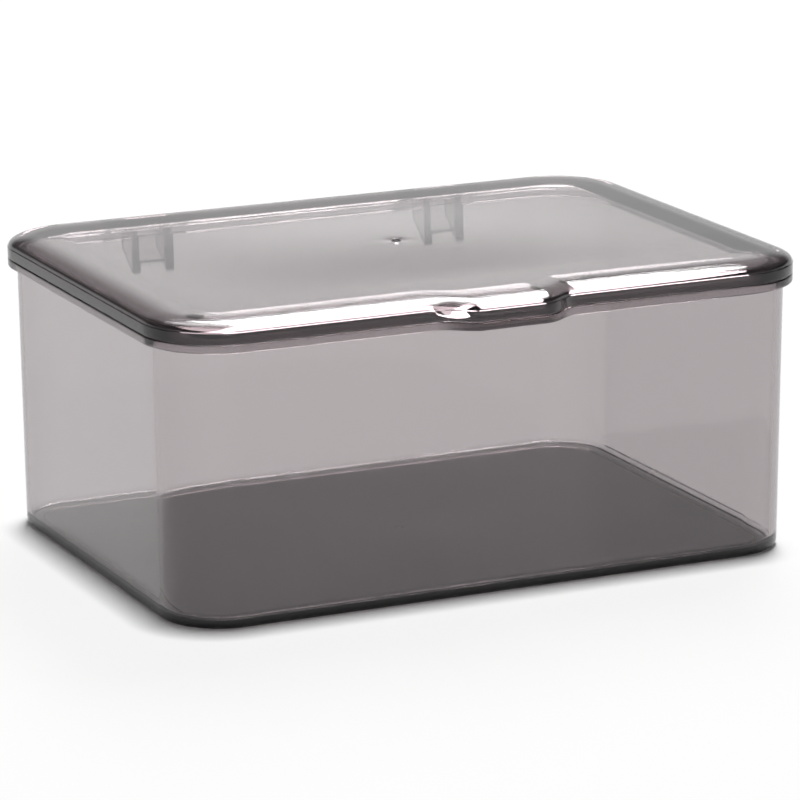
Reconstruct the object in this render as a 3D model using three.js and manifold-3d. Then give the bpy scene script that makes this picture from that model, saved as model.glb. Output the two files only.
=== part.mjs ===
// A clear smoke-tinted storage box with a hinged lid: body, lid and two hinge pins.
// Millimetres, +Z up. The box stands on Z = 0, its front faces -Y and its hinges are at the rear.
import * as THREE from "three";
import { mergeVertices } from "three/addons/utils/BufferGeometryUtils.js";
import Module from "manifold-3d";

// Body
const boxLength = 233;
const boxDepth = 168;
const rimHeight = 98.2;
const wallDraft = 1;
const footCornerRadius = 22.5;
const wallThickness = 2.3;
const floorThickness = 2.6;
const floorFilletRadius = 2.5;
const footEdgeRadius = 2.4;
const footRingWidth = 5;
const footRecess = 0.6;

// Rim flange of the body
const flangeOverhang = 3.3;
const flangeThickness = 2.9;
const flangeFilletRadius = 1.2;
const rimEdgeRadius = 0.6;

// Finger tab at the middle of the front, on flange and lid alike
const tabReach = 7.2;
const tabFlatWidth = 23.5;
const tabShoulderWidth = 15;

// Lid
const lidGap = 0.3;
const lidPlateThickness = 2.2;
const lidSkirtThickness = 2.2;
const lidSkirtHeight = 3.9;
const lidStep = 0.3;
const lidRollWidth = 12;
const lidRollRise = 3.1;
const lidCrownRise = 0.8;
const lidBorderWidth = 14.2;
const lidEdgeRadius = 0.4;

// Hinges
const hingeSpacing = 117;
const pinDiameter = 2.2;
const pinLength = 32;
const pinChamfer = 0.3;
const pinClearance = 0.3;
const pinSetback = 5.2;
const pinRise = 0.2;
const earGap = 9.8;
const earThickness = 3.2;
const earWall = 1.7;
const earBackHeight = 9;
const earRootHeight = 9;
const earBackLeanDegrees = 10;
const padThickness = 1.8;
const padHeight = 12;
const leafThickness = 0.9;
const leafClearance = 0.4;
const leafTail = 0.8;
const leafEndRadius = 2.6;
const knuckleWall = 0.8;
const knuckleLength = 7.8;
const knuckleSideGap = 0.3;

// Moulding marks
const gateDiameter = 3.4;
const gateHeight = 0.4;

// Facets along each round stretch
const cornerSteps = 7;
const shoulderSteps = 6;
const rollSteps = 6;
const rollFadeShare = 2 / 3;
const filletSteps = 2;
const pinSides = 20;

// Places that several pieces share
const tabHalfWidth = tabFlatWidth / 2 + tabShoulderWidth;
const lidSeat = rimHeight + lidGap;
const edgeSpread = wallDraft + flangeOverhang;
const flangeEdgeY = boxDepth / 2 + edgeSpread;
const pinRadius = pinDiameter / 2;
const boreRadius = pinRadius + pinClearance;
const pinY = flangeEdgeY + pinSetback;
const pinZ = rimHeight + pinRise;
const earRadius = boreRadius + earWall;
const knuckleRadius = boreRadius + knuckleWall;
const leafUnderside = pinZ + earRadius + leafClearance;
const leafTop = leafUnderside + leafThickness;
const earCentreOffset = (earGap + earThickness) / 2;
const hingePlaces = [
  { side: "left", x: -hingeSpacing / 2 },
  { side: "right", x: hingeSpacing / 2 },
];
const bothSides = [-1, 1];
const quarterTurn = Math.PI / 2;

const wasm = await Module();
wasm.setup();

// A solid made of a three.js geometry, whose seams are merged first.
function toSolid(geometry) {
  const bare = geometry.clone();
  bare.deleteAttribute("normal");
  bare.deleteAttribute("uv");
  const merged = mergeVertices(bare);
  return new wasm.Manifold(
    new wasm.Mesh({
      numProp: 3,
      vertProperties: merged.getAttribute("position").array,
      triVerts: new Uint32Array(merged.index.array),
    }),
  );
}

// A three.js geometry made of a solid.
function toGeometry(solid) {
  const mesh = solid.getMesh();
  const geometry = new THREE.BufferGeometry();
  geometry.setAttribute("position", new THREE.BufferAttribute(mesh.vertProperties, 3));
  geometry.setIndex(new THREE.BufferAttribute(mesh.triVerts, 1));
  geometry.computeVertexNormals();
  return geometry;
}

// How far the finger tab stands out of the front edge at x: flat in the middle, with two soft shoulders.
function tabBump(x) {
  const share = THREE.MathUtils.clamp((tabHalfWidth - Math.abs(x)) / tabShoulderWidth, 0, 1);
  return (tabReach * (1 - Math.cos(Math.PI * share))) / 2;
}

// The x values at which an outline samples the finger tab, from left to right.
function tabStations() {
  const stations = [];
  for (let step = 0; step <= shoulderSteps; step += 1) {
    stations.push(-tabHalfWidth + (tabShoulderWidth * step) / shoulderSteps);
  }
  return [...stations, ...stations.map((x) => -x).reverse()];
}

// One closed ring of points at a height, anticlockwise from above. It follows the foot's outline,
// moved out by spread; tabShare says how much of the finger tab it has.
function ring(spread, height, tabShare) {
  const radius = footCornerRadius + spread;
  const centreX = boxLength / 2 - footCornerRadius;
  const centreY = boxDepth / 2 - footCornerRadius;
  const points = [];
  const addCorner = (signX, signY, startAngle) => {
    for (let step = 0; step <= cornerSteps; step += 1) {
      const angle = startAngle + (quarterTurn * step) / cornerSteps;
      points.push(
        new THREE.Vector3(
          signX * centreX + radius * Math.cos(angle),
          signY * centreY + radius * Math.sin(angle),
          height,
        ),
      );
    }
  };
  addCorner(1, 1, 0);
  addCorner(-1, 1, quarterTurn);
  addCorner(-1, -1, 2 * quarterTurn);
  for (const x of tabStations()) {
    points.push(new THREE.Vector3(x, -boxDepth / 2 - spread - tabShare * tabBump(x), height));
  }
  addCorner(1, -1, 3 * quarterTurn);
  return points;
}

// A ring drawn in towards the middle by a share of its size, at another height.
function shrunkRing(points, share, height) {
  return points.map((point) => new THREE.Vector3(point.x * share, point.y * share, height));
}

// A closed shell through a run of rings, from a point under the middle to a point over it.
function loft(start, rings, end) {
  const count = rings[0].length;
  const positions = [start, ...rings.flat(), end].flatMap((point) => [point.x, point.y, point.z]);
  const last = 1 + rings.length * count;
  const index = [];
  for (let i = 0; i < count; i += 1) {
    const next = (i + 1) % count;
    index.push(0, 1 + next, 1 + i);
    for (let row = 0; row < rings.length - 1; row += 1) {
      const here = 1 + row * count;
      const above = here + count;
      index.push(here + i, here + next, above + next);
      index.push(here + i, above + next, above + i);
    }
    const top = last - count;
    index.push(top + i, top + next, last);
  }
  const geometry = new THREE.BufferGeometry();
  geometry.setAttribute("position", new THREE.Float32BufferAttribute(positions, 3));
  geometry.setIndex(index);
  return geometry;
}

// Places along a quarter ellipse from its side (share 0 across, 0 up) to its crown (1 across, 1 up).
// A fade under 1 draws the crown out, so that it runs into a flat without a line.
function quarterSteps(steps, fade = 1) {
  return Array.from({ length: steps + 1 }, (_, step) => {
    const angle = (quarterTurn * step) / steps;
    return { across: 1 - Math.cos(angle) ** fade, up: Math.sin(angle) };
  });
}

// A slab whose side profile is drawn in Y and Z, centred on x.
function slab(profile, x, thickness) {
  const geometry = new THREE.ExtrudeGeometry(profile, {
    depth: thickness,
    bevelEnabled: false,
    curveSegments: pinSides,
  });
  geometry.translate(0, 0, -thickness / 2);
  geometry.applyMatrix4(
    new THREE.Matrix4().makeBasis(
      new THREE.Vector3(0, 1, 0),
      new THREE.Vector3(0, 0, 1),
      new THREE.Vector3(1, 0, 0),
    ),
  );
  geometry.translate(x, 0, 0);
  return toSolid(geometry);
}

// The hole that a hinge pin runs through, long enough to pass every knuckle.
function pinBore(x) {
  const geometry = new THREE.CylinderGeometry(boreRadius, boreRadius, pinLength * 2, pinSides);
  geometry.rotateZ(quarterTurn);
  geometry.translate(x, pinY, pinZ);
  return toSolid(geometry);
}

// The small round stub that the moulding gate leaves, half sunk in the face it stands on.
function gateMark(height) {
  const geometry = new THREE.CylinderGeometry(gateDiameter / 2, gateDiameter / 2, gateHeight * 2, pinSides);
  geometry.rotateX(quarterTurn);
  geometry.translate(0, 0, height);
  return toSolid(geometry);
}

// Side profile of a hinge ear: a round eye for the pin on a gusset that runs down the rear wall.
function earProfile() {
  const lean = THREE.MathUtils.degToRad(earBackLeanDegrees);
  const wallMiddle = boxDepth / 2 - wallThickness / 2;
  const flangeMiddleZ = rimHeight - flangeThickness / 2;
  const fromPin = new THREE.Vector2(flangeEdgeY - pinY, flangeMiddleZ - pinZ);
  const frontTangent = fromPin.angle() - Math.acos(earRadius / fromPin.length());
  const backBottomY = (earRadius - earBackHeight * Math.sin(lean)) / Math.cos(lean);
  const profile = new THREE.Shape();
  profile.moveTo(wallMiddle + wallDraft, flangeMiddleZ);
  profile.lineTo(flangeEdgeY, flangeMiddleZ);
  profile.absarc(pinY, pinZ, earRadius, frontTangent, -lean, true);
  profile.lineTo(pinY + backBottomY, pinZ - earBackHeight);
  profile.lineTo(wallMiddle, pinZ - earBackHeight - earRootHeight);
  profile.closePath();
  return profile;
}

// Side profile of the flat pad between a pair of ears, which stiffens the rear wall under the rim.
function padProfile() {
  const wallMiddle = boxDepth / 2 - wallThickness / 2;
  const padFaceY = boxDepth / 2 + wallDraft + padThickness;
  const profile = new THREE.Shape();
  profile.moveTo(wallMiddle, rimHeight - flangeThickness / 2);
  profile.lineTo(wallMiddle, pinZ - padHeight - padThickness);
  profile.lineTo(padFaceY, pinZ - padHeight);
  profile.lineTo(padFaceY, rimHeight - flangeThickness / 2);
  profile.closePath();
  return profile;
}

// Side profile of a lid hinge: a thin leaf carried back from the rear skirt, and a round knuckle
// that hangs under its end on a neck.
function lugProfile() {
  const frontY = flangeEdgeY - lidSkirtThickness / 2;
  const endY = pinY + knuckleRadius;
  const profile = new THREE.Shape();
  profile.moveTo(frontY, leafTop);
  profile.lineTo(frontY, leafUnderside);
  profile.lineTo(pinY - knuckleRadius, leafUnderside);
  profile.absarc(pinY, pinZ, knuckleRadius, 2 * quarterTurn, 4 * quarterTurn, false);
  profile.absarc(endY - leafEndRadius, leafTop - leafEndRadius, leafEndRadius, 0, quarterTurn, false);
  profile.closePath();
  return profile;
}

// Side profile of the room that the ears need between the knuckles, which leaves only the leaf.
function earRoomProfile() {
  const frontY = flangeEdgeY + leafClearance;
  const rearY = pinY + 2 * knuckleRadius;
  const lowZ = pinZ - 2 * knuckleRadius;
  const highZ = leafTop + leafThickness;
  const tailY = pinY + leafTail;
  const profile = new THREE.Shape();
  profile.moveTo(frontY, lowZ);
  profile.lineTo(rearY, lowZ);
  profile.lineTo(rearY, highZ);
  profile.lineTo(tailY, highZ);
  profile.lineTo(tailY, leafUnderside);
  profile.lineTo(frontY, leafUnderside);
  profile.closePath();
  return profile;
}

// Body: floor on a raised foot ring, drafted walls, and a rim flange with the finger tab.
function bodyShell() {
  const flangeBottom = rimHeight - flangeThickness;
  const ringInset = footEdgeRadius + footRingWidth;
  const rings = [ring(-ringInset - footRecess, footRecess, 0), ring(-ringInset, 0, 0)];
  for (const { across, up } of quarterSteps(filletSteps)) {
    rings.push(ring(-footEdgeRadius * (1 - up), footEdgeRadius * across, 0));
  }
  for (const { across, up } of quarterSteps(filletSteps)) {
    rings.push(
      ring(wallDraft + flangeFilletRadius * across, flangeBottom - flangeFilletRadius * (1 - up), 0),
    );
  }
  for (const { across, up } of quarterSteps(filletSteps)) {
    rings.push(ring(edgeSpread - rimEdgeRadius * (1 - up), flangeBottom + rimEdgeRadius * across, 1));
  }
  for (const { across, up } of quarterSteps(filletSteps)) {
    rings.push(ring(edgeSpread - rimEdgeRadius * across, rimHeight - rimEdgeRadius * (1 - up), 1));
  }
  for (const { across, up } of quarterSteps(filletSteps)) {
    rings.push(
      ring(wallDraft - wallThickness + rimEdgeRadius * (1 - up), rimHeight - rimEdgeRadius * across, 0),
    );
  }
  for (const { across, up } of quarterSteps(filletSteps)) {
    rings.push(
      ring(-wallThickness - floorFilletRadius * across, floorThickness + floorFilletRadius * (1 - up), 0),
    );
  }
  const underside = new THREE.Vector3(0, 0, footRecess);
  const floor = new THREE.Vector3(0, 0, floorThickness);
  return toSolid(loft(underside, rings, floor));
}

// Lid: a slightly crowned plate with a wide rolled edge, a short skirt and the finger tab.
function lidShell() {
  const rollEnd = lidSeat + lidSkirtHeight + lidRollRise;
  const rollInset = lidStep + lidRollWidth;
  const crownShares = [2 / 3, 1 / 3];
  const crownHeight = (share) => lidCrownRise * (1 - share * share);
  const border = edgeSpread - rollInset - lidBorderWidth;
  const flatRing = ring(border, rollEnd, 0);
  const rings = [];
  for (const share of [...crownShares].reverse()) {
    rings.push(shrunkRing(flatRing, share, rollEnd + crownHeight(share) - lidPlateThickness));
  }
  rings.push(ring(border, rollEnd - lidPlateThickness, 0));
  rings.push(ring(edgeSpread - rollInset - lidPlateThickness, rollEnd - lidPlateThickness, 1));
  rings.push(ring(edgeSpread - lidSkirtThickness, lidSeat, 1));
  for (const { across, up } of quarterSteps(filletSteps)) {
    rings.push(ring(edgeSpread - lidEdgeRadius * (1 - up), lidSeat + lidEdgeRadius * across, 1));
  }
  rings.push(ring(edgeSpread, lidSeat + lidSkirtHeight - lidStep, 1));
  for (const { across, up } of quarterSteps(rollSteps, rollFadeShare)) {
    const inset = lidStep + lidRollWidth * across;
    rings.push(ring(edgeSpread - inset, lidSeat + lidSkirtHeight + lidRollRise * up, 1));
  }
  rings.push(flatRing);
  for (const share of crownShares) {
    rings.push(shrunkRing(flatRing, share, rollEnd + crownHeight(share)));
  }
  const underside = new THREE.Vector3(0, 0, rollEnd + lidCrownRise - lidPlateThickness);
  const top = new THREE.Vector3(0, 0, rollEnd + lidCrownRise);
  return toSolid(loft(underside, rings, top));
}

// The body with its hinge ears and the pads between them.
function boxBody() {
  let solid = bodyShell().add(gateMark(footRecess));
  for (const { x } of hingePlaces) {
    solid = solid.add(slab(padProfile(), x, earGap + earThickness));
    for (const sign of bothSides) {
      solid = solid.add(slab(earProfile(), x + sign * earCentreOffset, earThickness));
    }
    solid = solid.subtract(pinBore(x));
  }
  return solid;
}

// The lid with a leaf and two knuckles at each hinge.
function lid() {
  const earRoomWidth = earGap + 2 * (earThickness + knuckleSideGap);
  let solid = lidShell().add(gateMark(lidSeat + lidSkirtHeight + lidRollRise + lidCrownRise));
  for (const { x } of hingePlaces) {
    const earRoom = slab(earRoomProfile(), x, earRoomWidth);
    const lug = slab(lugProfile(), x, earRoomWidth + 2 * knuckleLength).subtract(earRoom);
    solid = solid.add(lug).subtract(pinBore(x));
  }
  return solid;
}

// A straight hinge pin with chamfered ends, turned about the Y axis.
function hingePin() {
  const half = pinLength / 2;
  const outline = [
    [0, -half],
    [pinRadius - pinChamfer, -half],
    [pinRadius, pinChamfer - half],
    [pinRadius, half - pinChamfer],
    [pinRadius - pinChamfer, half],
    [0, half],
  ].map(([radius, along]) => new THREE.Vector2(radius, along));
  return new THREE.LatheGeometry(outline, pinSides);
}

const smoke = { color: 0x565055, roughness: 0.06, metalness: 0, transparent: true, opacity: 0.5 };

const bodyMesh = new THREE.Mesh(toGeometry(boxBody()), new THREE.MeshStandardMaterial(smoke));
bodyMesh.name = "box_body";

const lidMesh = new THREE.Mesh(toGeometry(lid()), new THREE.MeshStandardMaterial(smoke));
lidMesh.name = "lid";

const pinMeshes = hingePlaces.map(({ side, x }) => {
  const mesh = new THREE.Mesh(hingePin(), new THREE.MeshStandardMaterial(smoke));
  mesh.name = `hinge_pin_${side}`;
  mesh.rotation.z = quarterTurn;
  mesh.position.set(x, pinY, pinZ);
  return mesh;
});

// The ears reach further back than the finger tab reaches forward, so the box is moved until
// the frame's origin lies under the middle of the whole.
const frontReach = flangeEdgeY + tabReach;
const rearReach = pinY + earRadius;
const storageBox = new THREE.Group();
storageBox.add(bodyMesh, lidMesh, ...pinMeshes);
storageBox.position.y = (frontReach - rearReach) / 2;

const part = new THREE.Group();
part.add(storageBox);

export default part;
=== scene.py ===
import math

import bmesh
import bpy
from mathutils import Matrix, Vector


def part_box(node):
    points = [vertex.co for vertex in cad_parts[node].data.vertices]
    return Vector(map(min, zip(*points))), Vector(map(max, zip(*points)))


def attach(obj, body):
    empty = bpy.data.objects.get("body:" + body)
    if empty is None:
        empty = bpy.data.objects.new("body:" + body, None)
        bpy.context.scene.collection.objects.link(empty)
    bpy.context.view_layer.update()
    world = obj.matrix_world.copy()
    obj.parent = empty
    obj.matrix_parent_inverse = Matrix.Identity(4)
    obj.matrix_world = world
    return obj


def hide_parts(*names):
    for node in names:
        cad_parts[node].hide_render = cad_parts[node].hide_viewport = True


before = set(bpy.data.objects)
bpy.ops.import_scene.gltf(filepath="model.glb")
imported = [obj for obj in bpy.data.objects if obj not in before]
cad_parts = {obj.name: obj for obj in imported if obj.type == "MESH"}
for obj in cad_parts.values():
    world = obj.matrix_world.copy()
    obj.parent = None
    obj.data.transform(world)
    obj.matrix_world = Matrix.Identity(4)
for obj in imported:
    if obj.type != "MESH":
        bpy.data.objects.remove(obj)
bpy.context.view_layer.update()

# Box body: one injection moulding in clear plastic with a smoke tint.
# A floor on a raised foot ring, four drafted walls and a thick rim flange with a finger tab.
# All sizes in this script are in millimetres and turned to metres where a mesh is made.
mm = 0.001
foot_length = 233.0
foot_depth = 168.0
foot_corner = 22.5
rim_height = 98.2
wall_draft = 1.0
wall_thickness = 2.3
floor_thickness = 2.6
floor_fillet = 2.5
foot_fillet = 2.4
foot_ring = 5.0
foot_recess = 0.6
flange_overhang = 3.3
flange_thickness = 2.9
flange_fillet = 1.2
rim_round = 0.6
tab_reach = 7.2
tab_flat = 23.5
tab_shoulder = 15.0
corner_steps = 22
shoulder_steps = 16
edge_spread = wall_draft + flange_overhang
body_front_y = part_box("box_body")[0].y / mm
centre_y = body_front_y + tab_reach + edge_spread + foot_depth / 2


def tab_share(x):
    """How far the finger tab stands out at x, from 0 to 1: flat in the middle with two soft shoulders."""
    across = (tab_flat / 2 + tab_shoulder - abs(x)) / tab_shoulder
    return (1 - math.cos(math.pi * min(max(across, 0.0), 1.0))) / 2


def span(start, end, steps):
    """Evenly spaced values strictly between start and end."""
    return [start + (end - start) * step / steps for step in range(1, steps)]


def outline_stations():
    """Stations round the foot outline, anticlockwise: place, outward direction, share of the tab."""
    half_x = foot_length / 2 - foot_corner
    half_y = foot_depth / 2 - foot_corner
    stations = []

    def corner(sign_x, sign_y, first_angle):
        for step in range(corner_steps + 1):
            angle = first_angle + math.pi / 2 * step / corner_steps
            out = Vector((math.cos(angle), math.sin(angle), 0))
            stations.append((Vector((sign_x * half_x, sign_y * half_y, 0)) + out * foot_corner, out, 0.0))

    corner(1, 1, 0)
    for x in span(half_x, -half_x, 16):
        stations.append((Vector((x, foot_depth / 2, 0)), Vector((0, 1, 0)), 0.0))
    corner(-1, 1, math.pi / 2)
    for y in span(half_y, -half_y, 10):
        stations.append((Vector((-foot_length / 2, y, 0)), Vector((-1, 0, 0)), 0.0))
    corner(-1, -1, math.pi)
    tab_end = tab_flat / 2 + tab_shoulder
    fronts = span(-half_x, -tab_end, 6) + [-tab_end] + span(-tab_end, -tab_flat / 2, shoulder_steps)
    fronts = fronts + [-tab_flat / 2] + span(-tab_flat / 2, 0, 3)
    for x in fronts + [0.0] + [-x for x in reversed(fronts)]:
        stations.append((Vector((x, -foot_depth / 2, 0)), Vector((0, -1, 0)), tab_share(x)))
    corner(1, -1, 1.5 * math.pi)
    for y in span(-half_y, half_y, 10):
        stations.append((Vector((foot_length / 2, y, 0)), Vector((1, 0, 0)), 0.0))
    return stations


def arc(steps):
    """Shares along a quarter round, from its side (0 across, 0 up) to its crown (1 across, 1 up)."""
    turns = [math.pi / 2 * step / steps for step in range(steps + 1)]
    return [(1 - math.cos(turn), math.sin(turn)) for turn in turns]


def points_object(name, places, **values):
    """A hidden object of loose points in metres, with one named value on each point."""
    mesh = bpy.data.meshes.new(name)
    mesh.from_pydata([place * mm for place in places], [], [])
    for key, value in values.items():
        kind = "FLOAT_VECTOR" if isinstance(value[0], Vector) else "FLOAT"
        layer = mesh.attributes.new(key, kind, "POINT")
        if kind == "FLOAT":
            layer.data.foreach_set("value", value)
        else:
            layer.data.foreach_set("vector", [part for vector in value for part in vector])
    points = bpy.data.objects.new(name, mesh)
    bpy.context.scene.collection.objects.link(points)
    points.hide_render = True
    return points


def moulded_shell_tree():
    """Geometry Nodes that carry a wall section round the outline and close it at both poles."""
    tree = bpy.data.node_groups.new("Moulded shell", "GeometryNodeTree")
    tree.is_modifier = True
    face = tree.interface
    face.new_socket("Outline", in_out="INPUT", socket_type="NodeSocketGeometry")
    face.new_socket("Section", in_out="INPUT", socket_type="NodeSocketObject")
    face.new_socket("Tab Reach", in_out="INPUT", socket_type="NodeSocketFloat")
    face.new_socket("Weld Distance", in_out="INPUT", socket_type="NodeSocketFloat")
    face.new_socket("Plastic", in_out="INPUT", socket_type="NodeSocketMaterial")
    face.new_socket("Shell", in_out="OUTPUT", socket_type="NodeSocketGeometry")
    link = tree.links.new
    inputs = tree.nodes.new("NodeGroupInput")
    section = tree.nodes.new("GeometryNodeObjectInfo")
    link(inputs.outputs["Section"], section.inputs["Object"])
    around = tree.nodes.new("GeometryNodeAttributeDomainSize")
    link(inputs.outputs["Outline"], around.inputs["Geometry"])
    along = tree.nodes.new("GeometryNodeAttributeDomainSize")
    link(section.outputs["Geometry"], along.inputs["Geometry"])

    def whole(operation, first, second):
        node = tree.nodes.new("FunctionNodeIntegerMath")
        node.operation = operation
        link(first, node.inputs[0])
        if isinstance(second, int):
            node.inputs[1].default_value = second
        else:
            link(second, node.inputs[1])
        return node.outputs[0]

    def number(operation, first, second):
        node = tree.nodes.new("ShaderNodeMath")
        node.operation = operation
        link(first, node.inputs[0])
        link(second, node.inputs[1])
        return node.outputs[0]

    def sample(geometry, key, kind, index):
        node = tree.nodes.new("GeometryNodeSampleIndex")
        node.data_type = kind
        link(geometry, node.inputs["Geometry"])
        if key == "position":
            source = tree.nodes.new("GeometryNodeInputPosition")
        else:
            source = tree.nodes.new("GeometryNodeInputNamedAttribute")
            source.data_type = kind
            source.inputs["Name"].default_value = key
        link(source.outputs[0], node.inputs["Value"])
        link(index, node.inputs["Index"])
        return node.outputs["Value"]

    grid = tree.nodes.new("GeometryNodeMeshGrid")
    link(whole("ADD", around.outputs["Point Count"], 1), grid.inputs["Vertices X"])
    link(along.outputs["Point Count"], grid.inputs["Vertices Y"])
    index = tree.nodes.new("GeometryNodeInputIndex").outputs["Index"]
    column = whole("DIVIDE_FLOOR", index, along.outputs["Point Count"])
    station = whole("MODULO", column, around.outputs["Point Count"])
    row = whole("MODULO", index, along.outputs["Point Count"])
    outline = inputs.outputs["Outline"]
    place = sample(outline, "position", "FLOAT_VECTOR", station)
    out = sample(outline, "out", "FLOAT_VECTOR", station)
    tab = sample(outline, "tab", "FLOAT", station)
    carried = tree.nodes.new("ShaderNodeSeparateXYZ")
    link(sample(section.outputs["Geometry"], "position", "FLOAT_VECTOR", row), carried.inputs[0])
    size = sample(section.outputs["Geometry"], "size", "FLOAT", row)
    share = sample(section.outputs["Geometry"], "share", "FLOAT", row)
    spread = tree.nodes.new("ShaderNodeVectorMath")
    spread.operation = "SCALE"
    link(out, spread.inputs[0])
    link(carried.outputs["X"], spread.inputs["Scale"])
    moved = tree.nodes.new("ShaderNodeVectorMath")
    moved.operation = "ADD"
    link(place, moved.inputs[0])
    link(spread.outputs[0], moved.inputs[1])
    bump = number("MULTIPLY", number("MULTIPLY", tab, share), inputs.outputs["Tab Reach"])
    forward = tree.nodes.new("ShaderNodeCombineXYZ")
    link(bump, forward.inputs["Y"])
    with_tab = tree.nodes.new("ShaderNodeVectorMath")
    with_tab.operation = "SUBTRACT"
    link(moved.outputs[0], with_tab.inputs[0])
    link(forward.outputs[0], with_tab.inputs[1])
    drawn_in = tree.nodes.new("ShaderNodeVectorMath")
    drawn_in.operation = "SCALE"
    link(with_tab.outputs[0], drawn_in.inputs[0])
    link(size, drawn_in.inputs["Scale"])
    height = tree.nodes.new("ShaderNodeCombineXYZ")
    link(carried.outputs["Z"], height.inputs["Z"])
    raised = tree.nodes.new("ShaderNodeVectorMath")
    raised.operation = "ADD"
    link(drawn_in.outputs[0], raised.inputs[0])
    link(height.outputs[0], raised.inputs[1])
    shaped = tree.nodes.new("GeometryNodeSetPosition")
    link(grid.outputs["Mesh"], shaped.inputs["Geometry"])
    link(raised.outputs[0], shaped.inputs["Position"])
    welded = tree.nodes.new("GeometryNodeMergeByDistance")
    link(shaped.outputs["Geometry"], welded.inputs["Geometry"])
    link(inputs.outputs["Weld Distance"], welded.inputs["Distance"])
    real = tree.nodes.new("GeometryNodeRealizeInstances")
    link(welded.outputs["Geometry"], real.inputs["Geometry"])
    finished = tree.nodes.new("GeometryNodeSetMaterial")
    link(real.outputs["Geometry"], finished.inputs["Geometry"])
    link(inputs.outputs["Plastic"], finished.inputs["Material"])
    outputs = tree.nodes.new("NodeGroupOutput")
    link(finished.outputs["Geometry"], outputs.inputs["Shell"])
    return tree


def made_with_nodes(name, source, tree, **sizes):
    """A new object with the plain mesh that the tree makes of the source object."""
    modifier = source.modifiers.new("Build", "NODES")
    modifier.node_group = tree
    for item in tree.interface.items_tree:
        key = item.name.replace(" ", "_").lower()
        if item.in_out == "INPUT" and key in sizes:
            modifier[item.identifier] = sizes[key]
    graph = bpy.context.evaluated_depsgraph_get()
    mesh = bpy.data.meshes.new_from_object(source.evaluated_get(graph), depsgraph=graph)
    source.modifiers.remove(modifier)
    mesh.name = name
    made = bpy.data.objects.new(name, mesh)
    bpy.context.scene.collection.objects.link(made)
    face_outward(mesh)
    return made


def face_outward(mesh):
    """Turns every face of a closed mesh outward."""
    work = bmesh.new()
    work.from_mesh(mesh)
    bmesh.ops.recalc_face_normals(work, faces=work.faces)
    if work.calc_volume(signed=True) < 0:
        bmesh.ops.reverse_faces(work, faces=work.faces)
    work.to_mesh(mesh)
    work.free()


def combined(target, operation, *others):
    """Adds the other solids to the target, or cuts them out of it, and removes them."""
    for other in others:
        modifier = target.modifiers.new("Combine", "BOOLEAN")
        modifier.operation = operation
        modifier.solver = "MANIFOLD"
        modifier.object = other
    graph = bpy.context.evaluated_depsgraph_get()
    mesh = bpy.data.meshes.new_from_object(target.evaluated_get(graph), depsgraph=graph)
    target.modifiers.clear()
    old = target.data
    target.data = mesh
    mesh.name = old.name
    bpy.data.meshes.remove(old)
    for other in others:
        bpy.data.objects.remove(other)
    return target


def finish_moulding(thing, plastic, sharpest_degrees=30):
    """One plastic all over, and smooth shading but for edges where two faces meet at more than the angle."""
    work = bmesh.new()
    work.from_mesh(thing.data)
    for edge in work.edges:
        edge.smooth = len(edge.link_faces) == 2 and edge.calc_face_angle() < math.radians(sharpest_degrees)
    for polygon in work.faces:
        polygon.smooth = True
        polygon.material_index = 0
    work.to_mesh(thing.data)
    work.free()
    thing.data.materials.clear()
    thing.data.materials.append(plastic)


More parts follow.
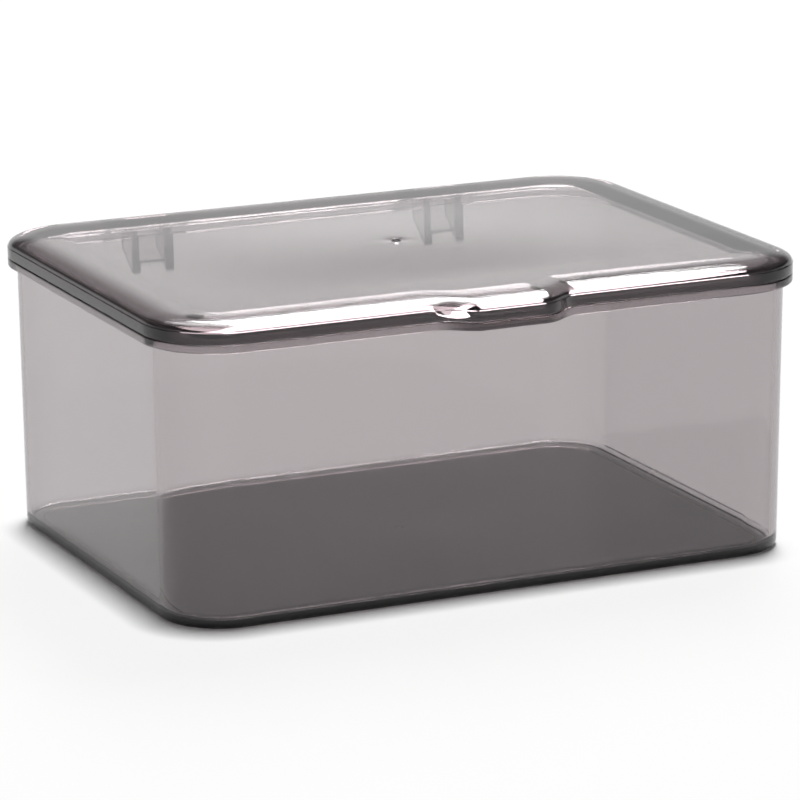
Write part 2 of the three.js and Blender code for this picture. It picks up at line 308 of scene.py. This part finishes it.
def smoke_plastic(name, tint, density, haze, scuff):
    """Clear plastic with a smoke dye in its mass, faint flow waves, rub marks and a fine handled haze."""
    plastic = bpy.data.materials.new(name)
    plastic.use_nodes = True
    nodes = plastic.node_tree.nodes
    link = plastic.node_tree.links.new
    nodes.clear()
    output = nodes.new("ShaderNodeOutputMaterial")
    clear = nodes.new("ShaderNodeBsdfPrincipled")
    clear.inputs["Base Color"].default_value = (1.0, 1.0, 1.0, 1.0)
    clear.inputs["Transmission Weight"].default_value = 1.0
    clear.inputs["IOR"].default_value = 1.49
    dye = nodes.new("ShaderNodeVolumeAbsorption")
    dye.inputs["Color"].default_value = tint
    dye.inputs["Density"].default_value = density
    link(clear.outputs["BSDF"], output.inputs["Surface"])
    link(dye.outputs["Volume"], output.inputs["Volume"])
    place = nodes.new("ShaderNodeTexCoord")
    cloud = nodes.new("ShaderNodeTexNoise")
    cloud.inputs["Scale"].default_value = 22.0
    cloud.inputs["Detail"].default_value = 4.0
    link(place.outputs["Object"], cloud.inputs["Vector"])
    finish = nodes.new("ShaderNodeMapRange")
    finish.inputs["From Min"].default_value = 0.35
    finish.inputs["From Max"].default_value = 0.75
    finish.inputs["To Min"].default_value = haze
    finish.inputs["To Max"].default_value = haze * 2.5
    link(cloud.outputs["Fac"], finish.inputs["Value"])
    link(finish.outputs["Result"], clear.inputs["Roughness"])
    flow = nodes.new("ShaderNodeTexNoise")
    flow.inputs["Scale"].default_value = 16.0
    flow.inputs["Detail"].default_value = 1.5
    link(place.outputs["Object"], flow.inputs["Vector"])
    waves = nodes.new("ShaderNodeBump")
    waves.inputs["Strength"].default_value = 1.0
    waves.inputs["Distance"].default_value = 0.00012
    link(flow.outputs["Fac"], waves.inputs["Height"])
    stretch = nodes.new("ShaderNodeMapping")
    stretch.inputs["Rotation"].default_value = (0.0, 0.0, 0.6)
    stretch.inputs["Scale"].default_value = (60.0, 1400.0, 1400.0)
    link(place.outputs["Object"], stretch.inputs["Vector"])
    rubs = nodes.new("ShaderNodeTexNoise")
    rubs.inputs["Scale"].default_value = 1.0
    rubs.inputs["Detail"].default_value = 3.0
    link(stretch.outputs["Vector"], rubs.inputs["Vector"])
    marks = nodes.new("ShaderNodeMapRange")
    marks.inputs["From Min"].default_value = 0.62
    marks.inputs["From Max"].default_value = 0.8
    link(rubs.outputs["Fac"], marks.inputs["Value"])
    scuffs = nodes.new("ShaderNodeBump")
    scuffs.inputs["Strength"].default_value = scuff
    scuffs.inputs["Distance"].default_value = 0.00001
    link(marks.outputs["Result"], scuffs.inputs["Height"])
    link(waves.outputs["Normal"], scuffs.inputs["Normal"])
    link(scuffs.outputs["Normal"], clear.inputs["Normal"])
    return plastic


body_plastic = smoke_plastic("Smoke plastic of the body", (0.21, 0.125, 0.145, 1.0), 212.0, 0.012, 0.3)

stations = outline_stations()
outline = points_object(
    "Foot outline",
    [place for place, out, tab in stations],
    out=[out for place, out, tab in stations],
    tab=[tab for place, out, tab in stations],
)

# The wall section of the body: spread from the foot outline, height, share of the tab, share of its size.
flange_bottom = rim_height - flange_thickness
foot_inset = foot_fillet + foot_ring
body_section = [(-foot_inset - foot_recess, foot_recess, 0, size) for size in (0, 0.04, 0.3, 0.65, 0.98, 1)]
body_section += [(-foot_inset, 0, 0, 1), (-foot_inset + 0.3, 0, 0, 1), (-foot_fillet - 0.3, 0, 0, 1)]
body_section += [(-foot_fillet * (1 - up), foot_fillet * across, 0, 1) for across, up in arc(8)]
wall_rows = [0.004, 0.03, 0.25, 0.5, 0.75, 0.97, 0.996]
wall_top = flange_bottom - flange_fillet
for row in wall_rows:
    body_section.append((wall_draft * row, foot_fillet + (wall_top - foot_fillet) * row, 0, 1))
for across, up in arc(6):
    body_section.append((wall_draft + flange_fillet * across, wall_top + flange_fillet * up, 0, 1))
flange_run = edge_spread - rim_round - wall_draft - flange_fillet
for row in (0.12, 0.88):
    body_section.append((wall_draft + flange_fillet + flange_run * row, flange_bottom, row, 1))
for across, up in arc(6):
    body_section.append((edge_spread - rim_round * (1 - up), flange_bottom + rim_round * across, 1, 1))
for height in (flange_bottom + rim_round + 0.15, rim_height - rim_round - 0.15):
    body_section.append((edge_spread, height, 1, 1))
for across, up in arc(6):
    body_section.append((edge_spread - rim_round * across, rim_height - rim_round * (1 - up), 1, 1))
inner_face = wall_draft - wall_thickness
rim_run = edge_spread - inner_face - 2 * rim_round
for row in (0.06, 0.94):
    body_section.append((edge_spread - rim_round - rim_run * row, rim_height, 1 - row, 1))
for across, up in arc(6):
    body_section.append((inner_face + rim_round * (1 - up), rim_height - rim_round * across, 0, 1))
inner_bottom = floor_thickness + floor_fillet
for row in reversed(wall_rows):
    height = inner_bottom + (rim_height - rim_round - inner_bottom) * row
    body_section.append((-wall_thickness + wall_draft * row, height, 0, 1))
for across, up in arc(8):
    height = floor_thickness + floor_fillet * (1 - up)
    body_section.append((-wall_thickness - floor_fillet * across, height, 0, 1))
for size in (0.995, 0.97, 0.65, 0.3, 0.04, 0):
    body_section.append((-wall_thickness - floor_fillet, floor_thickness, 0, size))

shell_tree = moulded_shell_tree()


def moulded_shell(name, section, plastic):
    """A closed shell whose wall has the section all the way round the outline."""
    rows = points_object(
        name + " section",
        [Vector((spread, 0, height)) for spread, height, share, size in section],
        share=[float(share) for spread, height, share, size in section],
        size=[float(size) for spread, height, share, size in section],
    )
    shell = made_with_nodes(
        name,
        outline,
        shell_tree,
        section=rows,
        tab_reach=tab_reach * mm,
        weld_distance=0.004 * mm,
        plastic=plastic,
    )
    shell.data.transform(Matrix.Translation((0, centre_y * mm, 0)))
    bpy.data.objects.remove(rows)
    return shell


body = moulded_shell("box_body_moulding", body_section, body_plastic)

# Hinge ears: two pairs of flat gussets moulded onto the rear wall under the rim, a pad between each pair.
# Each ear has a round eye for the hinge pin, so they are part of the body's own plastic.
hinge_spacing = 117.0
pin_diameter = 2.2
pin_length = 32.0
pin_clearance = 0.3
pin_rise = 0.2
pin_setback = 5.2
ear_gap = 9.8
ear_thickness = 3.2
ear_wall = 1.7
ear_back_height = 9.0
ear_root_height = 9.0
ear_lean = math.radians(10)
ear_round = 0.25
pad_thickness = 1.8
pad_height = 12.0
flange_edge_y = foot_depth / 2 + edge_spread
pin_y = flange_edge_y + pin_setback
pin_z = rim_height + pin_rise
bore_radius = pin_diameter / 2 + pin_clearance
ear_radius = bore_radius + ear_wall


def slab(name, profile, thickness, rounding):
    """A flat slab in X whose side profile is drawn in Y and Z, with its edges eased."""
    work = bmesh.new()
    left = [work.verts.new(Vector((-thickness / 2, y + centre_y, z)) * mm) for y, z in profile]
    right = [work.verts.new(Vector((thickness / 2, y + centre_y, z)) * mm) for y, z in profile]
    work.faces.new(left)
    work.faces.new(list(reversed(right)))
    for here in range(len(profile)):
        after = (here + 1) % len(profile)
        work.faces.new((left[here], right[here], right[after], left[after]))
    bmesh.ops.recalc_face_normals(work, faces=work.faces)
    if rounding:
        rims = [edge for edge in work.edges if abs(edge.verts[0].co.x - edge.verts[1].co.x) < 1e-9]
        bmesh.ops.bevel(work, geom=rims, offset=rounding * mm, segments=3, profile=0.5, affect="EDGES")
    mesh = bpy.data.meshes.new(name)
    work.to_mesh(mesh)
    work.free()
    made = bpy.data.objects.new(name, mesh)
    bpy.context.scene.collection.objects.link(made)
    return made


def arc_points(radius, first, last, steps):
    """Points on a round about the pin, from the first angle to the last, in Y and Z."""
    angles = [first + (last - first) * step / steps for step in range(steps + 1)]
    return [(pin_y + radius * math.cos(angle), pin_z + radius * math.sin(angle)) for angle in angles]


def copies_tree():
    """Geometry Nodes that set a piece at two hinges: on both sides of each, or once where these coincide."""
    tree = bpy.data.node_groups.new("Hinge copies", "GeometryNodeTree")
    tree.is_modifier = True
    face = tree.interface
    face.new_socket("Piece", in_out="INPUT", socket_type="NodeSocketGeometry")
    face.new_socket("Hinge Spacing", in_out="INPUT", socket_type="NodeSocketFloat")
    face.new_socket("Pair Spacing", in_out="INPUT", socket_type="NodeSocketFloat")
    face.new_socket("Plastic", in_out="INPUT", socket_type="NodeSocketMaterial")
    face.new_socket("Copies", in_out="OUTPUT", socket_type="NodeSocketGeometry")
    link = tree.links.new
    inputs = tree.nodes.new("NodeGroupInput")
    carried = inputs.outputs["Piece"]
    for spacing in ("Pair Spacing", "Hinge Spacing"):
        half = tree.nodes.new("ShaderNodeMath")
        half.operation = "MULTIPLY"
        half.inputs[1].default_value = -0.5
        link(inputs.outputs[spacing], half.inputs[0])
        start = tree.nodes.new("ShaderNodeCombineXYZ")
        link(half.outputs[0], start.inputs["X"])
        step = tree.nodes.new("ShaderNodeCombineXYZ")
        link(inputs.outputs[spacing], step.inputs["X"])
        line = tree.nodes.new("GeometryNodeMeshLine")
        line.inputs["Count"].default_value = 2
        link(start.outputs[0], line.inputs["Start Location"])
        link(step.outputs[0], line.inputs["Offset"])
        single = tree.nodes.new("GeometryNodeMergeByDistance")
        single.inputs["Distance"].default_value = 0.01 * mm
        link(line.outputs["Mesh"], single.inputs["Geometry"])
        copies = tree.nodes.new("GeometryNodeInstanceOnPoints")
        link(single.outputs["Geometry"], copies.inputs["Points"])
        link(carried, copies.inputs["Instance"])
        carried = copies.outputs["Instances"]
    real = tree.nodes.new("GeometryNodeRealizeInstances")
    link(carried, real.inputs["Geometry"])
    finished = tree.nodes.new("GeometryNodeSetMaterial")
    link(real.outputs["Geometry"], finished.inputs["Geometry"])
    link(inputs.outputs["Plastic"], finished.inputs["Material"])
    outputs = tree.nodes.new("NodeGroupOutput")
    link(finished.outputs["Geometry"], outputs.inputs["Copies"])
    return tree


wall_middle = foot_depth / 2 - wall_thickness / 2
flange_middle = rim_height - flange_thickness / 2
to_flange = Vector((flange_edge_y - pin_y, flange_middle - pin_z))
front_tangent = math.atan2(to_flange.y, to_flange.x) - math.acos(ear_radius / to_flange.length)
back_bottom = (ear_radius - ear_back_height * math.sin(ear_lean)) / math.cos(ear_lean)
ear_profile = [(wall_middle + wall_draft, flange_middle), (flange_edge_y - 0.5, flange_middle)]
ear_profile += arc_points(ear_radius, front_tangent % (2 * math.pi), -ear_lean, 30)
ear_profile += [(pin_y + back_bottom, pin_z - ear_back_height)]
ear_profile += [(wall_middle, pin_z - ear_back_height - ear_root_height)]
one_ear = slab("One ear", ear_profile, ear_thickness, ear_round)
hinge_copies = copies_tree()
ears = made_with_nodes(
    "Ears",
    one_ear,
    hinge_copies,
    hinge_spacing=hinge_spacing * mm,
    pair_spacing=(ear_gap + ear_thickness) * mm,
    plastic=body_plastic,
)
bpy.data.objects.remove(one_ear)

pad_face = foot_depth / 2 + wall_draft + pad_thickness
pad_profile = [(wall_middle, flange_middle), (wall_middle, pin_z - pad_height - pad_thickness)]
pad_profile += [(pad_face, pin_z - pad_height), (pad_face, flange_middle)]
one_pad = slab("One pad", pad_profile, ear_gap + ear_thickness, 0)
pads = made_with_nodes(
    "Pads",
    one_pad,
    hinge_copies,
    hinge_spacing=hinge_spacing * mm,
    pair_spacing=0.0,
    plastic=body_plastic,
)
bpy.data.objects.remove(one_pad)


def round_bar(name, outline, sides):
    """A bar turned along X about the pin's line, from pairs of place along it and radius."""
    work = bmesh.new()
    rings = []
    for along, radius in outline:
        ring = []
        for side in range(sides):
            angle = 2 * math.pi * side / sides
            y = pin_y + centre_y + radius * math.cos(angle)
            ring.append(work.verts.new(Vector((along, y, pin_z + radius * math.sin(angle))) * mm))
        rings.append(ring)
    for first, second in zip(rings, rings[1:]):
        for side in range(sides):
            after = (side + 1) % sides
            work.faces.new((first[side], first[after], second[after], second[side]))
    work.faces.new(rings[0])
    work.faces.new(list(reversed(rings[-1])))
    bmesh.ops.recalc_face_normals(work, faces=work.faces)
    mesh = bpy.data.meshes.new(name)
    work.to_mesh(mesh)
    work.free()
    made = bpy.data.objects.new(name, mesh)
    bpy.context.scene.collection.objects.link(made)
    return made


def hinge_bores():
    """The two round holes that the pins run through, as cutters."""
    one = round_bar("One bore", [(-pin_length, bore_radius), (pin_length, bore_radius)], 48)
    bores = made_with_nodes(
        "Bores",
        one,
        hinge_copies,
        hinge_spacing=hinge_spacing * mm,
        pair_spacing=0.0,
        plastic=body_plastic,
    )
    bpy.data.objects.remove(one)
    return bores


gate_diameter = 3.4
gate_height = 0.35


def gate_mark(height, upward):
    """The small stub with a broken-off middle that the moulding gate leaves on a face."""
    half = gate_diameter / 2
    sign = 1 if upward else -1
    outline = [(0.0, 0.5), (0.35, 0.5), (0.5, 0.15), (0.8, 0.1), (1.1, 0.55), (1.3, 1.0), (half - 0.15, 1.0)]
    outline += [(half, 0.7), (half + 0.05, -1.0), (0.0, -1.0)]
    work = bmesh.new()
    sides = 40
    rings = []
    for radius, up in outline:
        ring = []
        for side in range(sides if radius else 1):
            angle = 2 * math.pi * side / sides
            place = Vector((radius * math.cos(angle), radius * math.sin(angle) + centre_y, 0))
            ring.append(work.verts.new((place + Vector((0, 0, height + sign * up * gate_height))) * mm))
        rings.append(ring)
    for first, second in zip(rings, rings[1:]):
        for side in range(sides):
            after = (side + 1) % sides
            corners = [first[side % len(first)], first[after % len(first)]]
            corners += [second[after % len(second)], second[side % len(second)]]
            work.faces.new(list(dict.fromkeys(corners)))
    bmesh.ops.recalc_face_normals(work, faces=work.faces)
    mesh = bpy.data.meshes.new("Gate mark")
    work.to_mesh(mesh)
    work.free()
    made = bpy.data.objects.new("Gate mark", mesh)
    bpy.context.scene.collection.objects.link(made)
    return made


combined(body, "UNION", pads)
combined(body, "UNION", ears)
combined(body, "UNION", gate_mark(foot_recess, False))
combined(body, "DIFFERENCE", hinge_bores())
finish_moulding(body, body_plastic)
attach(body, "box")
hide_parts("box_body")

# Hinge pins: two straight rods of the same smoke plastic with eased ends.
# Each is pushed through one pair of ears and the knuckles of the lid's hinge.
pin_chamfer = 0.3
pin_end_band = 0.3
pin_sides = 40
pin_radius = pin_diameter / 2
pin_plastic = smoke_plastic("Smoke plastic of the pins", (0.21, 0.125, 0.145, 1.0), 212.0, 0.03, 0.5)
for side, place in (("left", -hinge_spacing / 2), ("right", hinge_spacing / 2)):
    half = pin_length / 2
    pin_outline = []
    for across, up in arc(5):
        pin_outline.append((-half + pin_chamfer * across, pin_radius - pin_chamfer * (1 - up)))
    pin_outline += [(-half + pin_chamfer + pin_end_band, pin_radius), (0.0, pin_radius)]
    pin_outline += [(half - pin_chamfer - pin_end_band, pin_radius)]
    pin_outline += [(-along, radius) for along, radius in reversed(pin_outline[:6])]
    pin = round_bar("hinge_pin_" + side + "_rod", pin_outline, pin_sides)
    pin.data.transform(Matrix.Translation((place * mm, 0, 0)))
    finish_moulding(pin, pin_plastic)
    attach(pin, "box")
    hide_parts("hinge_pin_" + side)

# Lid: a second moulding in the same smoke plastic, nearly flat with a wide rolled edge and a short skirt.
# It follows the body's outline, finger tab and all, and lies on the rim flange.
lid_gap = 0.3
lid_plate = 2.2
lid_skirt = 2.2
lid_skirt_height = 3.9
lid_step = 0.3
lid_roll_width = 12.0
lid_roll_rise = 3.1
lid_roll_fade = 2 / 3
lid_crown = 0.8
lid_border = 14.2
lid_edge = 0.4
lid_wedge = 14.5
sink_depth = 0.24
sink_radius = 3.6
tool_line_depth = 0.035
tool_line_width = 0.12
tool_lines = (2.0, 2.9, 4.1, 5.0, 6.3, 7.6)
lid_plastic = smoke_plastic("Smoke plastic of the lid", (0.21, 0.125, 0.145, 1.0), 212.0, 0.012, 0.4)
lid_seat = rim_height + lid_gap
roll_start = lid_seat + lid_skirt_height
roll_end = roll_start + lid_roll_rise
roll_inset = lid_step + lid_roll_width
border_spread = edge_spread - roll_inset - lid_border


fine_step = 0.06
plain_step = 0.3


def rolled_edge():
    """The lid's roll in spread and height, with the faint lines that the mould tool left along it."""
    steps = 900
    places = []
    run = 0.0
    for step in range(steps + 1):
        turn = math.pi / 2 * step / steps
        across = 1 - math.cos(turn) ** lid_roll_fade if step < steps else 1.0
        height = roll_start + lid_roll_rise * math.sin(turn)
        place = Vector((edge_spread - lid_step - lid_roll_width * across, height))
        if places:
            run += (place - places[-1][0]).length
        places.append((place, run))
    edge = []
    last = -1.0
    for here, (place, run) in enumerate(places):
        near = min(abs(run - line) for line in tool_lines) < 3 * tool_line_width
        if run - last < (fine_step if near else plain_step) and here < steps:
            continue
        last = run
        along = (places[min(here + 1, steps)][0] - places[max(here - 1, 0)][0]).normalized()
        groove = sum(math.exp(-(((run - line) / tool_line_width) ** 2)) for line in tool_lines)
        cut = place - Vector((along.y, -along.x)) * groove * tool_line_depth
        edge.append((cut.x, cut.y, 1, 1))
    return edge


crown_shares = (0.97, 0.93, 0.88, 0.82, 0.74, 0.65, 0.55, 0.45, 0.35, 0.26, 0.18, 0.12, 0.08)
crown_shares += (0.06, 0.046, 0.036, 0.028, 0.021, 0.015, 0.01, 0.005, 0)
plate_top = [(border_spread, roll_end, 0, share) for share in crown_shares]
lid_section = [(spread, height - lid_plate, share, size) for spread, height, share, size in plate_top]
lid_section.reverse()
wedge_height = roll_end - lid_plate - lid_seat
border_run = edge_spread - lid_wedge - border_spread
for row in (0, 0.04, 0.5, 0.99):
    lid_section.append((border_spread + border_run * row, roll_end - lid_plate, row, 1))
for row in (0.02, 0.25, 0.5, 0.75, 0.98):
    inset = lid_wedge + (lid_skirt - lid_wedge) * row
    lid_section.append((edge_spread - inset, roll_end - lid_plate - wedge_height * row, 1, 1))
lid_section += [(edge_spread - lid_skirt + 0.15, lid_seat, 1, 1)]
lid_section += [(edge_spread - lid_edge - 0.1, lid_seat, 1, 1)]
for across, up in arc(5):
    lid_section.append((edge_spread - lid_edge * (1 - up), lid_seat + lid_edge * across, 1, 1))
lid_section += [(edge_spread, lid_seat + lid_edge + 0.15, 1, 1)]
lid_section += [(edge_spread, roll_start - lid_step - 0.15, 1, 1)]
lid_section += [(edge_spread - 0.03, roll_start - lid_step + 0.02, 1, 1)]
lid_section += [(edge_spread - lid_step + 0.04, roll_start - 0.05, 1, 1)]
lid_section += rolled_edge()
lid_section += [(border_spread + lid_border * row, roll_end, row, 1) for row in (0.97, 0.5, 0.04, 0)]
lid_section += plate_top
lid = moulded_shell("lid_moulding", lid_section, lid_plastic)

# The plate is a little fuller in the middle, and dips in a shallow sink mark round the moulding gate.
crown_half_x = foot_length / 2 + border_spread
crown_half_y = foot_depth / 2 + border_spread
for vertex in lid.data.vertices:
    x = vertex.co.x / mm
    y = vertex.co.y / mm - centre_y
    if abs(x) < crown_half_x and abs(y) < crown_half_y:
        full = (1 - (x / crown_half_x) ** 2) ** 2 * (1 - (y / crown_half_y) ** 2) ** 2
        sink = sink_depth * math.exp(-(x * x + y * y) / sink_radius ** 2)
        vertex.co.z += (lid_crown * full - sink) * mm
lid.data.update()

# Lid hinge lugs: a thin leaf over each pair of ears, with a round knuckle hung under both of its ends.
# They are moulded with the lid and carried back from its rear skirt.
knuckle_length = 7.8
knuckle_wall = 0.8
knuckle_side_gap = 0.3
leaf_thickness = 0.9
leaf_clearance = 0.4
leaf_tail = 0.8
leaf_end = 2.6
knuckle_radius = bore_radius + knuckle_wall
leaf_underside = pin_z + ear_radius + leaf_clearance
leaf_top = leaf_underside + leaf_thickness
ear_room_width = ear_gap + 2 * (ear_thickness + knuckle_side_gap)
lug_front = flange_edge_y - lid_skirt / 2
lug_profile = [(lug_front, leaf_top), (lug_front, leaf_underside), (pin_y - knuckle_radius, leaf_underside)]
lug_profile += arc_points(knuckle_radius, math.pi, 2 * math.pi, 28)
for across, up in arc(10):
    y = pin_y + knuckle_radius - leaf_end * across
    lug_profile.append((y, leaf_top - leaf_end * (1 - up)))
room_front = flange_edge_y + leaf_clearance
room_rear = pin_y + 2 * knuckle_radius
room_tail = pin_y + leaf_tail
room_low = pin_z - 2 * knuckle_radius
room_high = leaf_top + leaf_thickness
room_profile = [(room_front, room_low), (room_rear, room_low), (room_rear, room_high), (room_tail, room_high)]
room_profile += [(room_tail, leaf_underside), (room_front, leaf_underside)]
one_lug = slab("One lug", lug_profile, ear_room_width + 2 * knuckle_length, 0.3)
combined(one_lug, "DIFFERENCE", slab("Room for the ears", room_profile, ear_room_width, 0))
lugs = made_with_nodes(
    "Lugs",
    one_lug,
    hinge_copies,
    hinge_spacing=hinge_spacing * mm,
    pair_spacing=0.0,
    plastic=lid_plastic,
)
bpy.data.objects.remove(one_lug)
combined(lid, "UNION", lugs)
combined(lid, "UNION", gate_mark(roll_end + lid_crown - sink_depth, True))
combined(lid, "DIFFERENCE", hinge_bores())
finish_moulding(lid, lid_plastic)
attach(lid, "lid")
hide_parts("lid")
bpy.data.objects.remove(outline)

# Floor: a plain pale sweep that the box stands on, in matt paper under a painted white glow.
# It lies a tenth of a millimetre under the foot. Away from the box a painted white glow lifts it to white and
# hides the box's shadow there; near the foot the glow fades out, so the real shadow shows.
floor_reach = 9.0
floor_level = -0.0001
floor_corners = [(-1, -1), (1, -1), (1, 1), (-1, 1)]
floor_places = [(x * floor_reach, y * floor_reach, floor_level) for x, y in floor_corners]
floor_mesh = bpy.data.meshes.new("Floor")
floor_mesh.from_pydata(floor_places, [], [(0, 1, 2, 3)])
floor = bpy.data.objects.new("Floor", floor_mesh)
bpy.context.scene.collection.objects.link(floor)
pale = bpy.data.materials.new("Pale floor")
pale.use_nodes = True
pale_nodes = pale.node_tree.nodes
pale_link = pale.node_tree.links.new
pale_nodes.clear()
pale_output = pale_nodes.new("ShaderNodeOutputMaterial")
matt = pale_nodes.new("ShaderNodeBsdfDiffuse")
matt.inputs["Color"].default_value = (0.93, 0.93, 0.93, 1.0)
# Painted white glow, not a lamp: an emission that only camera, glossy and transmission rays see on the floor.
painted_white_glow = pale_nodes.new("ShaderNodeEmission")
painted_white_glow.inputs["Color"].default_value = (1.0, 1.0, 1.0, 1.0)
painted_white_glow.inputs["Strength"].default_value = 1.0
looking = pale_nodes.new("ShaderNodeLightPath")
rays = looking.outputs["Is Camera Ray"]
for kind in ("Is Glossy Ray", "Is Transmission Ray"):
    either = pale_nodes.new("ShaderNodeMath")
    either.operation = "MAXIMUM"
    pale_link(rays, either.inputs[0])
    pale_link(looking.outputs[kind], either.inputs[1])
    rays = either.outputs[0]
# Mask for the painted glow by place: none under the box and at its foot, full from about a centimetre beyond
# the foot, so the glow hides the shadow only away from the box.
spot = pale_nodes.new("ShaderNodeTexCoord")
from_foot = pale_nodes.new("ShaderNodeVectorMath")
from_foot.operation = "ABSOLUTE"
pale_link(spot.outputs["Object"], from_foot.inputs[0])
beyond = pale_nodes.new("ShaderNodeVectorMath")
beyond.operation = "SUBTRACT"
beyond.inputs[1].default_value = ((foot_length / 2 - 20) * mm, (foot_depth / 2 - 20) * mm, 0)
pale_link(from_foot.outputs[0], beyond.inputs[0])
outside = pale_nodes.new("ShaderNodeVectorMath")
outside.operation = "MAXIMUM"
outside.inputs[1].default_value = (0, 0, 0)
pale_link(beyond.outputs[0], outside.inputs[0])
apart = pale_nodes.new("ShaderNodeVectorMath")
apart.operation = "LENGTH"
pale_link(outside.outputs[0], apart.inputs[0])
share = pale_nodes.new("ShaderNodeMapRange")
share.inputs["From Min"].default_value = 19 * mm
share.inputs["From Max"].default_value = 32 * mm
share.inputs["To Max"].default_value = 0.88
pale_link(apart.outputs["Value"], share.inputs["Value"])
# How much painted glow each ray sees: the ray mask times the place mask.
painted_glow_share = pale_nodes.new("ShaderNodeMath")
painted_glow_share.operation = "MULTIPLY"
pale_link(rays, painted_glow_share.inputs[0])
pale_link(share.outputs["Result"], painted_glow_share.inputs[1])
paper_with_painted_glow = pale_nodes.new("ShaderNodeMixShader")
pale_link(painted_glow_share.outputs[0], paper_with_painted_glow.inputs["Fac"])
pale_link(matt.outputs["BSDF"], paper_with_painted_glow.inputs[1])
pale_link(painted_white_glow.outputs["Emission"], paper_with_painted_glow.inputs[2])
pale_link(paper_with_painted_glow.outputs["Shader"], pale_output.inputs["Surface"])
floor_mesh.materials.append(pale)

# Light: a white horizon that darkens upward, and two soft lamps above and behind the box.
# The long strip lamp draws the bright line along the lid's front edge.
world = bpy.data.worlds.new("Studio")
bpy.context.scene.world = world
world.use_nodes = True
world_nodes = world.node_tree.nodes
world_link = world.node_tree.links.new
world_nodes.clear()
sky_output = world_nodes.new("ShaderNodeOutputWorld")
sky = world_nodes.new("ShaderNodeBackground")
sky.inputs["Color"].default_value = (1.0, 1.0, 1.0, 1.0)
direction = world_nodes.new("ShaderNodeTexCoord")
up_down = world_nodes.new("ShaderNodeSeparateXYZ")
world_link(direction.outputs["Generated"], up_down.inputs[0])
fade = world_nodes.new("ShaderNodeMapRange")
fade.interpolation_type = "SMOOTHSTEP"
fade.inputs["From Min"].default_value = 0.16
fade.inputs["From Max"].default_value = 0.34
fade.inputs["To Min"].default_value = 1.0
fade.inputs["To Max"].default_value = 0.13
world_link(up_down.outputs["Z"], fade.inputs["Value"])
world_link(fade.outputs["Result"], sky.inputs["Strength"])
world_link(sky.outputs["Background"], sky_output.inputs["Surface"])

lamp_distance = 2.85
lamps = (
    ("Strip lamp", 0.8, 2.1, 92.0, Vector((0.37, 0.51, 0.756)), Vector((0.0, -0.825, 0.565))),
    ("Side lamp", 0.8, 1.0, 14.0, Vector((0.12, 0.6, 0.79)), Vector((0.0, -0.8, 0.6))),
)
for name, wide, deep, watts, toward, along in lamps:
    lamp = bpy.data.lights.new(name, "AREA")
    lamp.shape = "RECTANGLE"
    lamp.size = wide
    lamp.size_y = deep
    lamp.energy = watts
    lamp_object = bpy.data.objects.new(name, lamp)
    bpy.context.scene.collection.objects.link(lamp_object)
    facing = toward.normalized()
    across = along.cross(facing).normalized()
    lamp_object.location = facing * lamp_distance
    lamp_object.rotation_mode = "QUATERNION"
    turned = Matrix((across, facing.cross(across), facing)).transposed()
    lamp_object.rotation_quaternion = turned.to_quaternion()

# Camera: the photograph's long lens, from the front left and a little above.
# It looks at a point near the middle of the box and is turned a third of a degree about its own axis.
camera_data = bpy.data.cameras.new("Camera")
camera_data.sensor_width = 36.0
camera_data.lens = 200.0
camera_data.clip_start = 0.05
camera_data.clip_end = 60.0
camera = bpy.data.objects.new("Camera", camera_data)
bpy.context.scene.collection.objects.link(camera)
azimuth = math.radians(-24.816)
elevation = math.radians(14.406)
roll = math.radians(-0.373)
outward = Vector((math.sin(azimuth), -math.cos(azimuth), 0)) * math.cos(elevation)
back = outward + Vector((0, 0, math.sin(elevation)))
level_right = Vector((math.cos(azimuth), math.sin(azimuth), 0))
level_up = back.cross(level_right)
right = level_right * math.cos(roll) + level_up * math.sin(roll)
up = level_up * math.cos(roll) - level_right * math.sin(roll)
camera.rotation_mode = "QUATERNION"
camera.rotation_quaternion = Matrix((right, up, back)).transposed().to_quaternion()
looked_at = Vector((0.001923, (centre_y + 1.762) * mm, 0.0477))
camera_distance = 1.5773
camera.location = looked_at + back * camera_distance
bpy.context.scene.camera = camera

bpy.context.scene.view_settings.view_transform = "Standard"
bpy.context.scene.cycles.max_bounces = 24
bpy.context.scene.cycles.transmission_bounces = 20
bpy.context.scene.cycles.glossy_bounces = 16
